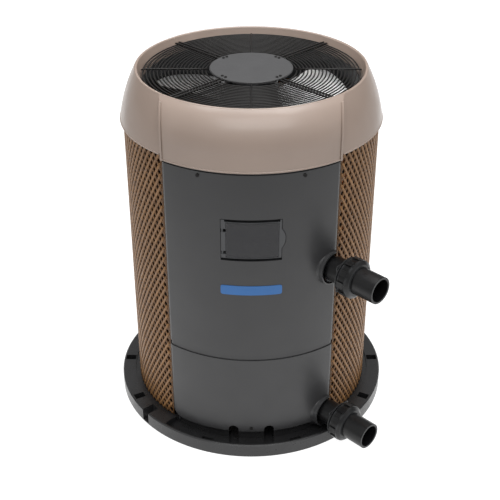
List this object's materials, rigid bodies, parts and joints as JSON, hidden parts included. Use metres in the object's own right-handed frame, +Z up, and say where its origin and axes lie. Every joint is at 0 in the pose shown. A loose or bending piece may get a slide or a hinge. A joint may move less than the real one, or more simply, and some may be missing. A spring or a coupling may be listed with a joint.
{
  "type": "round pool heat pump",
  "caption": "Round upright pool heat pump: mesh-caged wrap-around coil, curved grey front panels, hinged control cover, top fan under a wire guard, and side pipe unions.",
  "frame": {"origin": "centre of the base's flat underside, on the ground", "axes": "+Z up along the fan axis; the front panels with the control window face -Y; +X is to the right seen from the front, and the water pipes leave between +X and -Y"},
  "size_m": [0.78, 0.8072, 0.9953],
  "materials": {
    "base_plastic": "fine textured charcoal plastic",
    "mesh_plastic": "brown plastic-coated mesh, open lozenges",
    "fin_stock": "gold coated fin stock",
    "copper": "bright copper tube",
    "zinc_sheet": "zinc coated sheet",
    "panel_paint": "textured dark grey powder coat",
    "shroud_plastic": "warm grey moulded plastic, semi-gloss",
    "cover_plastic": "smooth dark grey plastic",
    "smoked_window": "smoked clear plastic",
    "display_glass": "dark display glass",
    "plaque": "plain blue plaque, smooth",
    "key_plastic": "light grey moulded plastic",
    "circuit_board": "green board",
    "pipe_plastic": "black moulded plastic, slight sheen",
    "guard_paint": "black coated wire",
    "plate_paint": "smooth grey paint",
    "motor_shell": "grey enamel",
    "machinery_paint": "black enamel",
    "blade_aluminium": "bright sheet",
    "screw_steel": "plated steel",
    "titanium": "drawn titanium tube",
    "brass_body": "machined brass",
    "rubber": "black rubber"
  },
  "bodies": {
    "cabinet": {"base_pan": "base_plastic", "coil_guard": "mesh_plastic", "evaporator_fins": "fin_stock", "evaporator_tubes": "copper", "coil_end_plates": "zinc_sheet", "upper_front_panel": "panel_paint", "lower_front_panel": "panel_paint", "outer_screws": "guard_paint", "pipe_collars": "panel_paint", "badge": "plaque", "control_bezel": "cover_plastic", "display_module": "display_glass", "cover_hinge_pins": "screw_steel", "electrical_box": "zinc_sheet", "control_board": "circuit_board", "contactor": "pipe_plastic", "run_capacitor": "motor_shell", "transformer": "motor_shell", "terminal_block": "key_plastic", "conduit_hub": "screw_steel", "cable_bushings": "rubber", "fan_shroud": "shroud_plastic", "fan_orifice": "pipe_plastic", "fan_guard": "guard_paint", "motor_plate": "plate_paint", "fan_motor": "motor_shell", "frame_post": "zinc_sheet", "pipe_bulkhead": "zinc_sheet", "heat_exchanger": "pipe_plastic", "exchanger_coil": "titanium", "water_pressure_switch": "key_plastic", "compressor": "machinery_paint", "compressor_grommets": "rubber", "compressor_bolts": "screw_steel", "accumulator": "machinery_paint", "filter_drier": "copper", "expansion_valve": "brass_body", "discharge_line": "copper", "liquid_line": "copper", "feed_line": "copper", "suction_line": "copper", "wiring": "rubber", "union_gaskets": "rubber", "pipe_plates": "pipe_plastic", "tailpiece_upper": "pipe_plastic", "tailpiece_lower": "pipe_plastic", "union_body_upper": "pipe_plastic", "union_body_lower": "pipe_plastic"},
    "fan_rotor": {"motor_shaft": "screw_steel", "fan_hub": "zinc_sheet", "fan_blades": "blade_aluminium"},
    "cover": {"control_cover": "cover_plastic", "cover_window": "smoked_window"},
    "key_mode": {"button_mode": "key_plastic"},
    "key_down": {"button_down": "key_plastic"},
    "key_up": {"button_up": "key_plastic"},
    "key_menu": {"button_menu": "key_plastic"},
    "armature": {"contactor_armature": "key_plastic"},
    "nut_upper": {"union_nut_upper": "pipe_plastic"},
    "nut_lower": {"union_nut_lower": "pipe_plastic"}
  },
  "joints": [
    {"name": "fan_spin", "type": "hinge", "parent": "cabinet", "child": "fan_rotor", "pos_m": [0, 0, 0.872], "axis": [0, 0, 1], "continuous": true},
    {"name": "cover_hinge", "type": "hinge", "parent": "cabinet", "child": "cover", "pos_m": [-0.0715, -0.33771, 0.666], "axis": [0, 0, -1], "range_deg": [0, 110]},
    {"name": "key_mode_press", "type": "slide", "parent": "cabinet", "child": "key_mode", "axis": [0, 1, 0], "range_m": [0, 0.001], "stiffness_N_per_m": 300},
    {"name": "key_down_press", "type": "slide", "parent": "cabinet", "child": "key_down", "axis": [0, 1, 0], "range_m": [0, 0.001], "stiffness_N_per_m": 300},
    {"name": "key_up_press", "type": "slide", "parent": "cabinet", "child": "key_up", "axis": [0, 1, 0], "range_m": [0, 0.001], "stiffness_N_per_m": 300},
    {"name": "key_menu_press", "type": "slide", "parent": "cabinet", "child": "key_menu", "axis": [0, 1, 0], "range_m": [0, 0.001], "stiffness_N_per_m": 300},
    {"name": "armature_pull", "type": "slide", "parent": "cabinet", "child": "armature", "axis": [0, 1, 0], "range_m": [0, 0.003], "stiffness_N_per_m": 200},
    {"name": "nut_upper_turn", "type": "hinge", "parent": "cabinet", "child": "nut_upper", "pos_m": [0.26131, -0.33331, 0.549], "axis": [0.7071, -0.7071, 0], "range_deg": [0, 900]},
    {"name": "nut_lower_turn", "type": "hinge", "parent": "cabinet", "child": "nut_lower", "pos_m": [0.26131, -0.33331, 0.078], "axis": [0.7071, -0.7071, 0], "range_deg": [0, 900]}
  ]
}
